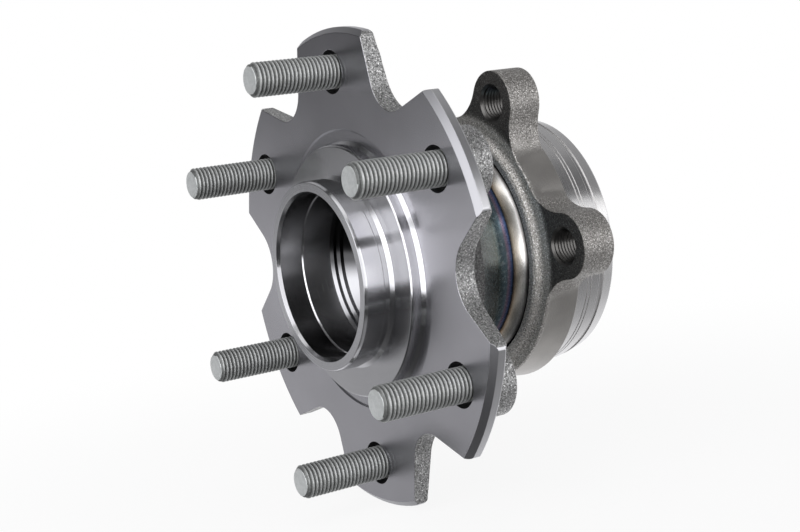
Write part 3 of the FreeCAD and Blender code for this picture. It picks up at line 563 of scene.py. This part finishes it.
def true_cylinders(ob):
    """Round walls about the axis shade as exact cylinders, whatever their facets."""
    me = ob.data
    normals = [Vector(c.vector) for c in me.corner_normals]
    for p in me.polygons:
        if abs(p.normal.y) > 0.02:
            continue
        at = [me.vertices[v].co for v in p.vertices]
        radii = [math.hypot(c.x, c.z) for c in at]
        if min(radii) < 0.020 or max(radii) - min(radii) > 3e-5:
            continue
        c = p.center
        out = (p.normal.x * c.x + p.normal.z * c.z) / math.hypot(c.x, c.z)
        if abs(out) < 0.97:
            continue
        for li in p.loop_indices:
            v = me.vertices[me.loops[li].vertex_index].co
            normals[li] = Vector((v.x, 0.0, v.z)).normalized() * math.copysign(1.0, out)
    me.normals_split_custom_set([tuple(n) for n in normals])


STUDS = [(69.85 * math.cos(math.radians(a)), 69.85 * math.sin(math.radians(a))) for a in (90, 30, -30, -90, -150, 150)]


def hub_finish(x, y, z, n):
    r = math.hypot(x, z)
    if r < 16.3 and 14.0 < y:
        return "spline"
    if y < 25.0 and r > 40 and min(math.hypot(x - a, z - b) for a, b in STUDS) < 9.4 and not (y < 0.05 and n.y < -0.5):
        return "hole"
    if r < 28.9 and 5.5 < y < 15.0:
        return "seat"
    if r < 30.0 and y < 11.2 and (n.x * x + n.z * z) < -0.93 * r:
        return "bore" if y < -4.9 else "relief"
    if y < -15.0 and n.y < -0.9:
        return "lip"
    if r < 45.8 and y < 3.0 or r < 31.0 and y < 21.0:
        return "nose"
    if r < 30.0 and 84.0 > y > 60.0:
        return "race"
    if y > 50.0:
        return "race" if y < 60.0 or r > 26 else "nose"
    if y > 25.72 and r < 43.4:
        return "neck"
    radial = (n.x * x + n.z * z) / max(r, 1e-6)
    if r > 82.9:
        if y < 2.1 and n.y < -0.3:
            return "bevel" if radial > 0.3 else "turned"
        if radial > 0.75 and r > 84.6:
            return "rim"
    if y < 0.75 and n.y < -0.5:
        return "turned"
    return "forged"


def ring_finish(x, y, z, n):
    r = math.hypot(x, z)
    radial = (n.x * x + n.z * z) / max(r, 1e-6)
    if y > 61.25 or (y > 60.9 and n.y > 0.5):
        if r > 44.0 and 0.05 < abs(n.y) < 0.9 and y < 76.0:
            return "line"
        return "pilot" if r > 40.5 else "race"
    if r < 40.9 and y > 46.2:
        return "race"
    ears = [(58.31 * math.cos(math.radians(a)), 58.31 * math.sin(math.radians(a))) for a in (2.6, 64.6, 182.6, 244.6)]
    if min(math.hypot(x - a, z - b) for a, b in ears) < 6.9 and abs(n.y) < 0.9:
        return "thread"
    return "ear"


def hub_round(x, y, z):
    r = math.hypot(x, z)
    if y > 83.0 and r < 30.0:
        return 0.15
    if y > 14.5:
        return 0.0
    if r < 30.4:
        return 0.10 if y < 0 else 0.0
    if r < 46.0:
        return 0.14 if y < 0.5 else 0.0
    if min(math.hypot(x - a, z - b) for a, b in STUDS) < 8.2:
        return 0.12 if y < 0.1 else 0.0
    if r > 82.8:
        return 0.16 if y < 4.0 else 0.3
    if y < 0.2:
        return 0.24 if r > 50.5 else 0.05
    return 0.30 if 3.0 < y < 9.0 and r > 60 else 0.0


def ring_round(x, y, z):
    r = math.hypot(x, z)
    if y < 47.0:
        return 0.14 if r > 42 else 0.0
    if r > 47.5 and 48.0 < y < 61.5:
        ears = [(58.31 * math.cos(math.radians(a)), 58.31 * math.sin(math.radians(a))) for a in (2.6, 64.6, 182.6, 244.6)]
        if min(math.hypot(x - a, z - b) for a, b in ears) < 7.5:
            return 0.08
        return 0.45 if y < 55 else 0.3
    if 72.5 < y < 81.2 and r > 42:
        return 0.12
    return 0.0


HUB = ["hub_nose", "hub_rotor_step", "hub_flange", "hub_spindle"]
hub = rounded_copy(HUB, "flanged_spindle", hub_round, 0.30, meets=((-4.8, 33.7), (0.0, 45.35), (14.0, 48.6)))
paint(hub, ["turned", "bevel", "nose", "lip", "seat", "bore", "relief", "rim", "forged", "neck", "hole", "race", "spline"], hub_finish)
true_cylinders(hub)
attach(hub, "hub")
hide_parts(*HUB)

ring = rounded_copy(["outer_ring"], "eared_ring", ring_round, 0.45, weld_mm=0.12)
paint(ring, ["ear", "pilot", "line", "race", "thread"], ring_finish)
true_cylinders(ring)
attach(ring, "outer_ring_unit")
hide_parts("outer_ring")


# ---------------------------------------------------------------- threads
def helix_rows(profile, pitch, start, stop, steps, envelope):
    """Grid of a threaded surface about the local Y axis, as vertices and faces.  profile is a list of
    (share of a pitch, radius); envelope(y, r) trims the radius near the ends."""
    k = len(profile)
    turns = int(math.ceil((stop - start) / pitch)) + 2
    rows = turns * k
    verts, grid = [], {}
    for j in range(steps):
        a = 2 * math.pi * j / steps
        for i in range(rows + k):
            share, r = profile[i % k]
            y = start + pitch * (i // k - 1 + share + j / steps) - pitch
            y = start if y < start + 0.02 else stop if y > stop - 0.02 else y
            rr = envelope(y, r)
            grid[j, i] = len(verts)
            verts.append((rr * math.cos(a), y, rr * math.sin(a)))
    faces = []
    for j in range(steps):
        for i in range(rows + k - 1):
            if j + 1 < steps:
                q = (grid[j, i], grid[j, i + 1], grid[j + 1, i + 1], grid[j + 1, i])
            elif i + 1 + k < rows + k:
                q = (grid[j, i], grid[j, i + 1], grid[0, i + 1 + k], grid[0, i + k])
            else:
                continue
            faces.append(q)
    return verts, faces


def weld(verts, faces, name, extra=None, smooth_angle=32.0, flip=False):
    bm = bmesh.new()
    vs = [bm.verts.new(Vector(v) * MM) for v in verts]
    for f in faces:
        try:
            bm.faces.new([vs[i] for i in (f if not flip else f[::-1])])
        except ValueError:
            pass
    bmesh.ops.remove_doubles(bm, verts=bm.verts, dist=1e-7)
    bmesh.ops.dissolve_degenerate(bm, dist=1e-7, edges=bm.edges)
    loose = [v for v in bm.verts if not v.link_faces]
    bmesh.ops.delete(bm, geom=loose, context="VERTS")
    if extra:
        extra(bm)
    bmesh.ops.recalc_face_normals(bm, faces=bm.faces)
    for f in bm.faces:
        f.smooth = True
    for e in bm.edges:
        if len(e.link_faces) == 2 and e.calc_face_angle(0) > math.radians(smooth_angle):
            e.smooth = False
    me = bpy.data.meshes.new(name)
    bm.to_mesh(me)
    bm.free()
    return me


def ring_of(bm, r, y, tol=2e-6):
    return sorted((v for v in bm.verts if abs(v.co.y - y * MM) < tol and abs(math.hypot(v.co.x, v.co.z) - r * MM) < tol),
                  key=lambda v: math.atan2(v.co.z, v.co.x))


def lathe_on(bm, loop, sections):
    """Carry a loop of vertices on through further (radius, y) sections; a radius of 0 closes it."""
    angles = [math.atan2(v.co.z, v.co.x) for v in loop]
    for r, y in sections:
        if r == 0:
            tip = bm.verts.new(Vector((0, y * MM, 0)))
            for i in range(len(loop)):
                bm.faces.new((loop[i], loop[(i + 1) % len(loop)], tip))
            return None
        nxt = [bm.verts.new(Vector((r * math.cos(a) * MM, y * MM, r * math.sin(a) * MM))) for a in angles]
        for i in range(len(loop)):
            k = (i + 1) % len(loop)
            bm.faces.new((loop[i], loop[k], nxt[k], nxt[i]))
        loop = nxt
    return loop


STEPS = 96
T_START, T_STOP = -31.4, 3.6        # stud thread, mm from the flange face
PROFILE = [(0.00, 5.98), (0.045, 6.0), (0.125, 5.97), (0.40, 5.16), (0.47, 5.08), (0.56, 5.10), (0.64, 5.20), (0.93, 5.93)]


def stud_envelope(y, r):
    lead = 4.75 + (y - T_START) * 0.95
    tail = 5.55 + max(0.0, T_STOP - y) * 0.5
    r = min(r, lead) if y < T_START + 1.4 else r
    if y > T_STOP - 1.2:
        k = (y - (T_STOP - 1.2)) / 1.2
        r = r + (5.62 - r) * k
    return r


def stud_extra(bm):
    front = ring_of(bm, 4.75, T_START)
    back = ring_of(bm, 5.62, T_STOP)
    # slightly domed, sheared end
    lathe_on(bm, front, [(4.55, T_START + 0.02), (3.9, T_START + 0.06), (2.6, T_START + 0.10), (1.3, T_START + 0.13), (0, T_START + 0.14)])
    # shank, knurl and head
    teeth = len(back)
    loop = lathe_on(bm, back, [(5.62, 4.2), (6.4, 4.9)])
    angles = [math.atan2(v.co.z, v.co.x) for v in loop]

    def toothed(y, low, high):
        out = []
        for i, a in enumerate(angles):
            r = high if i % 3 else low
            out.append(bm.verts.new(Vector((r * math.cos(a) * MM, y * MM, r * math.sin(a) * MM))))
        return out
    a1 = toothed(5.3, 6.82, 7.09)
    a2 = toothed(9.72, 6.82, 7.09)
    for lo, hi in ((loop, a1), (a1, a2)):
        for i in range(teeth):
            k = (i + 1) % teeth
            bm.faces.new((lo[i], lo[k], hi[k], hi[i]))
    lathe_on(bm, a2, [(8.75, 9.82), (8.97, 10.05), (8.97, 12.85), (8.8, 13.25), (8.35, 13.55), (8.0, 13.6), (5.0, 13.58), (2.5, 13.56), (0, 13.55)])


verts, faces = helix_rows(PROFILE, 1.5, T_START, T_STOP, STEPS, stud_envelope)
stud_mesh = weld(verts, faces, "stud_mesh", stud_extra, 30.0)
stud_mesh.materials.append(M["stud"])
stud_mesh.materials.append(M["stud_end"])
for p in stud_mesh.polygons:
    if p.center.y < (T_START + 0.3) * MM and abs(p.normal.y) > 0.6 and math.hypot(p.center.x, p.center.z) < 4.9 * MM:
        p.material_index = 1
for i, (sx, sz) in enumerate(STUDS, start=1):
    ob = link(bpy.data.objects.new("threaded_stud_%d" % i, stud_mesh if i == 1 else stud_mesh.copy()))
    turn = Matrix.Rotation(math.radians(37.0 * i), 4, "Y")
    ob.data.transform(turn)
    ob.location = (sx * MM, FACE * MM, sz * MM)
    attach(ob, "hub")
    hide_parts("wheel_stud_%d" % i)

# tapped threads in the four ears
E_START, E_STOP = 49.35, 60.35
EAR_PROFILE = [(0.00, 5.36), (0.12, 5.36), (0.44, 5.90), (0.50, 5.93), (0.56, 5.93), (0.88, 5.46)]


def ear_envelope(y, r):
    k = min(1.0, (y - E_START) / 0.9, (E_STOP - y) / 0.9)
    return 5.95 + (r - 5.95) * max(0.0, k)


def ear_extra(bm):
    a = ring_of(bm, 5.95, E_START)
    b = ring_of(bm, 5.95, E_STOP)
    out_a = lathe_on(bm, a, [(5.99, E_START)])
    out_b = lathe_on(bm, b, [(5.99, E_STOP)])
    for i in range(len(out_a)):
        k = (i + 1) % len(out_a)
        bm.faces.new((out_a[i], out_a[k], out_b[k], out_b[i]))


verts, faces = helix_rows(EAR_PROFILE, 1.25, E_START, E_STOP, STEPS, ear_envelope)
thread_mesh = weld(verts, faces, "ear_thread_mesh", ear_extra, 30.0)
thread_mesh.materials.append(M["thread"])
for i, a in enumerate((2.6, 64.6, 182.6, 244.6), start=1):
    ob = link(bpy.data.objects.new("ear_thread_%d" % i, thread_mesh if i == 1 else thread_mesh.copy()))
    ob.data.transform(Matrix.Rotation(math.radians(61.0 * i), 4, "Y"))
    ob.location = (58.31 * math.cos(math.radians(a)) * MM, FACE * MM, 58.31 * math.sin(math.radians(a)) * MM)
    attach(ob, "outer_ring_unit")


# ---------------------------------------------------------------- finishes of the pieces kept from model.glb
SLINGER = [(36.2, 49.4), (36.2, 43.05), (36.24, 42.87), (36.36, 42.78), (36.55, 42.82), (37.1, 43.17), (37.7, 43.65),
           (38.3, 44.19), (38.85, 44.74), (39.32, 45.27), (39.7, 45.75), (39.97, 46.14), (40.11, 46.42), (40.13, 46.52),
           (40.04, 46.6), (39.88, 46.54), (39.5, 46.05), (39.0, 45.45), (38.3, 44.95), (37.6, 44.75), (37.2, 44.85),
           (36.98, 45.1), (36.9, 45.5), (36.9, 49.4)]


def turned_shell(name, profile, steps=160):
    """A closed turning about the axis from its section in (radius, mm from the flange face)."""
    verts = [(r * math.cos(2 * math.pi * k / steps), FACE + y, r * math.sin(2 * math.pi * k / steps))
             for r, y in profile for k in range(steps)]
    faces = []
    for i in range(len(profile)):
        j = (i + 1) % len(profile)
        for k in range(steps):
            h = (k + 1) % steps
            faces.append((i * steps + k, i * steps + h, j * steps + h, j * steps + k))
    return link(bpy.data.objects.new(name, weld(verts, faces, name)))


slinger = turned_shell("crowned_slinger", SLINGER)
slinger.data.materials.append(M["slinger"])
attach(slinger, "hub")
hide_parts("outboard_slinger")


def finish_of(node, key):
    ob = nodes[node]
    for s in ob.material_slots:
        s.link = "OBJECT"
        s.material = M[key]


for node, key in (("inner_race", "race"), ("outboard_balls", "ball"), ("inboard_balls", "ball"), ("outboard_cage", "nylon"),
                  ("inboard_cage", "nylon"), ("outboard_seal_case", "sheet"),
                  ("outboard_seal_lip", "rubber"), ("inboard_seal_case", "sheet"), ("inboard_slinger", "sheet"),
                  ("inboard_seal_lip", "rubber"), ("encoder_ring", "magnet")):
    finish_of(node, key)


# ---------------------------------------------------------------- floor
floor_me = bpy.data.meshes.new("floor")
S = 14.0
floor_me.from_pydata([(-S, -S, 0), (S, -S, 0), (S, S, 0), (-S, S, 0)], [], [(0, 1, 2, 3)])
floor = link(bpy.data.objects.new("floor", floor_me))
floor.location = (0, 0, -0.0856)
fm = bpy.data.materials.new("pale_floor")
fm.use_nodes = True
nt = fm.node_tree
nt.nodes.clear()
out = nt.nodes.new("ShaderNodeOutputMaterial")
em = nt.nodes.new("ShaderNodeEmission")
em.inputs[0].default_value = (1, 1, 1, 1)
em.inputs[1].default_value = 1.0
df = nt.nodes.new("ShaderNodeBsdfDiffuse")
df.inputs[0].default_value = (0.8, 0.8, 0.8, 1)
mx = nt.nodes.new("ShaderNodeMixShader")
geo = nt.nodes.new("ShaderNodeNewGeometry")
far = nt.nodes.new("ShaderNodeVectorMath")
far.operation = "LENGTH"
nt.links.new(geo.outputs["Position"], far.inputs[0])
fade = nt.nodes.new("ShaderNodeMapRange")
fade.interpolation_type = "SMOOTHSTEP"
for sock, v in zip(fade.inputs[1:5], (0.10, 0.42, 0.10, 0.0)):
    sock.default_value = v
nt.links.new(far.outputs["Value"], fade.inputs[0])
nt.links.new(fade.outputs[0], mx.inputs[0])
nt.links.new(em.outputs[0], mx.inputs[1])
nt.links.new(df.outputs[0], mx.inputs[2])
nt.links.new(mx.outputs[0], out.inputs[0])
floor_me.materials.append(fm)
floor.visible_glossy = False
floor.visible_diffuse = False
floor.visible_transmission = False
floor.visible_shadow = False

# Brightness of the room by azimuth (degrees from -Y towards +X), at four heights.
ROOM = {
    "high": [(-180, 0.40), (-140, 0.45), (-110, 0.55), (-88, 0.45), (-76, 0.10), (-62, 0.01), (-54, 0.08), (-45, 0.10),
             (-20, 0.12), (0, 0.16), (60, 0.30), (110, 0.20), (137, 0.10), (152, 0.24), (180, 0.42)],
    "level": [(-180, 1.00), (-150, 1.30), (-110, 1.20), (-88, 0.80), (-72, 0.58), (-58, 0.46), (-45, 0.46), (-20, 0.50),
              (0, 0.20), (60, 0.12), (118, 0.30), (130, 0.45), (150, 1.40), (180, 1.10)],
    "low": [(-180, 0.95), (-140, 1.20), (-105, 1.10), (-84, 0.75), (-60, 0.33), (-30, 0.26), (-8, 0.08), (20, 0.04),
            (70, 0.05), (100, 0.17), (125, 0.28), (140, 0.36), (160, 0.50), (180, 0.75)],
    "foot": [(-180, 0.75), (-110, 0.75), (-66, 0.30), (-50, 0.14), (-18, 0.05), (20, 0.04), (48, 0.05), (66, 0.30), (120, 0.36), (150, 0.42),
             (180, 0.62)],
}

# ---------------------------------------------------------------- world
# A white sweep behind the object and a darker room in front of it, seen only in reflections.
world = bpy.data.worlds.new("studio")
bpy.context.scene.world = world
world.use_nodes = True
nt = world.node_tree
nt.nodes.clear()


def wmath(op, a, b=0.0, c=0.0, clamp=False):
    n = nt.nodes.new("ShaderNodeMath")
    n.operation = op
    n.use_clamp = clamp
    for sock, v in zip(n.inputs, (a, b, c)):
        if isinstance(v, bpy.types.NodeSocket):
            nt.links.new(v, sock)
        else:
            sock.default_value = v
    return n.outputs[0]


def wstep(v, a, b, lo=0.0, hi=1.0):
    n = nt.nodes.new("ShaderNodeMapRange")
    n.interpolation_type = "SMOOTHSTEP"
    n.clamp = True
    for sock, x in zip(n.inputs, (v, a, b, lo, hi)):
        if isinstance(x, bpy.types.NodeSocket):
            nt.links.new(x, sock)
        else:
            sock.default_value = x
    return n.outputs[0]


def wmix(f, a, b):
    """a where f is 0, b where f is 1."""
    return wmath("ADD", wmath("MULTIPLY", a, wmath("SUBTRACT", 1.0, f)), wmath("MULTIPLY", b, f))


wout = nt.nodes.new("ShaderNodeOutputWorld")
tc = nt.nodes.new("ShaderNodeTexCoord")
sep = nt.nodes.new("ShaderNodeSeparateXYZ")
nt.links.new(tc.outputs["Generated"], sep.inputs[0])
dx, dy, dz = sep.outputs
turn = wmath("ADD", wmath("MULTIPLY", wmath("ARCTAN2", dx, wmath("MULTIPLY", dy, -1.0)), 0.5 / math.pi), 0.5)
rise = wmath("MULTIPLY", wmath("ARCSINE", dz), 180.0 / math.pi)


def room(band):
    n = nt.nodes.new("ShaderNodeValToRGB")
    n.color_ramp.interpolation = "EASE"
    el = n.color_ramp.elements
    stops = ROOM[band]
    while len(el) < len(stops):
        el.new(0.5)
    for e, (deg, v) in zip(el, stops):
        e.position = (deg + 180) / 360
        e.color = (v / 2, v / 2, v / 2, 1)
    nt.links.new(turn, n.inputs[0])
    return n.outputs[0]


behind = wstep(dy, -0.10, 0.30)
level = wmix(wstep(rise, wmath("MULTIPLY_ADD", behind, 9.0, -6.0), wmath("MULTIPLY_ADD", behind, 22.0, 3.0)), room("level"), room("high"))
level = wmix(wstep(rise, -10.0, -26.0), level, room("low"))
level = wmix(wstep(rise, -42.0, -58.0), level, room("foot"))
level = wmix(wstep(rise, 60.0, 78.0), level, 0.28)
# a wide window of light to the front and right, brightest along its lower edge
side = wmath("MULTIPLY", wmath("SUBTRACT", turn, 0.5), 360.0)
sill = wmath("MULTIPLY_ADD", wstep(side, 4.0, 24.0), -20.5, 2.0)
sill = wmath("ADD", sill, wmath("MULTIPLY", wstep(side, 44.0, 58.0), 3.5))
head = wmath("MULTIPLY_ADD", wstep(side, 58.0, 76.0), -30.0, 58.0)
left = wmath("MULTIPLY_ADD", wstep(rise, 36.0, 58.0), 14.0, -2.0)
pane = wmath("MULTIPLY", wstep(rise, sill, wmath("ADD", sill, 1.8)), wstep(rise, wmath("ADD", head, 5.0), head))
pane = wmath("MULTIPLY", pane, wmath("MULTIPLY", wstep(side, left, wmath("ADD", left, 6.0)), wstep(side, 127.0, 121.0)))
glow = wmath("MULTIPLY_ADD", wmath("MULTIPLY", wstep(side, 34.0, 56.0), wstep(rise, 44.0, 20.0)), -0.74, 1.40)
glow = wmath("MULTIPLY_ADD", wstep(side, 84.0, 96.0), 0.70, glow)
glow = wmath("MULTIPLY_ADD", wstep(rise, 20.0, 44.0), -0.42, glow)
level = wmath("MAXIMUM", level, wmath("MULTIPLY", pane, glow))
strip = wmath("MULTIPLY", wmath("MULTIPLY", wstep(side, -34.0, -26.0), wstep(side, 2.0, -6.0)),
              wmath("MULTIPLY", wstep(rise, -20.0, -12.0), wstep(rise, 38.0, 30.0)))
level = wmath("MAXIMUM", level, wmath("MULTIPLY", strip, 0.65))
level = wmath("MULTIPLY", level, 2.0)
bg = nt.nodes.new("ShaderNodeBackground")
bg.inputs[0].default_value = (0.975, 0.975, 1.0, 1)
nt.links.new(level, bg.inputs[1])
white = nt.nodes.new("ShaderNodeBackground")
white.inputs[0].default_value = (1, 1, 1, 1)
lp = nt.nodes.new("ShaderNodeLightPath")
mixw = nt.nodes.new("ShaderNodeMixShader")
nt.links.new(lp.outputs["Is Camera Ray"], mixw.inputs[0])
nt.links.new(bg.outputs[0], mixw.inputs[1])
nt.links.new(white.outputs[0], mixw.inputs[2])
nt.links.new(mixw.outputs[0], wout.inputs[0])


# ---------------------------------------------------------------- lights
def softbox(name, direction, distance, width, height, radiance, tint=(1, 1, 1), roll=0.0):
    d = Vector(direction).normalized()
    data = bpy.data.lights.new(name, "AREA")
    data.shape = "RECTANGLE"
    data.size = width
    data.size_y = height
    data.energy = radiance * math.pi * width * height
    data.color = tint
    ob = link(bpy.data.objects.new(name, data))
    ob.location = d * distance + Vector((0, -0.03, 0))
    ob.rotation_mode = "QUATERNION"
    ob.rotation_quaternion = (-d).to_track_quat("-Z", "Y") @ Matrix.Rotation(roll, 3, "Z").to_quaternion()
    ob.visible_camera = False
    return ob


def toward(azimuth, elevation):
    """Azimuth from -Y towards +X, in degrees."""
    a, e = math.radians(azimuth), math.radians(elevation)
    return (math.sin(a) * math.cos(e), -math.cos(a) * math.cos(e), math.sin(e))


softbox("top_box", toward(40, 80), 1.4, 1.0, 0.7, 0.7)
softbox("back_box", toward(152, 14), 1.5, 0.5, 0.36, 1.2)

# ---------------------------------------------------------------- camera
R = ((0.5158118301825655, 0.848884442659921, -0.11547016434415908),
     (0.03803710041415642, -0.1573443995574912, -0.9868109843936557),
     (-0.8558570761732331, 0.5046166296683527, -0.11344920549019705))
cam_data = bpy.data.cameras.new("camera")
cam_data.sensor_width = 36.0
cam_data.lens = 1509.8 / 800 * 36.0
cam_data.clip_start = 0.01
cam_data.clip_end = 50.0
cam = link(bpy.data.objects.new("camera", cam_data))
cm = Matrix.Identity(4)
for i in range(3):
    cm[i][0] = R[0][i]
    cm[i][1] = -R[1][i]
    cm[i][2] = -R[2][i]
cm[0][3], cm[1][3], cm[2][3] = 0.46411, -0.31612, 0.06003
cam.matrix_world = cm
bpy.context.scene.camera = cam

sc = bpy.context.scene
sc.view_settings.view_transform = "Standard"
sc.view_settings.look = "None"
sc.view_settings.exposure = 0.0
sc.view_settings.gamma = 1.0
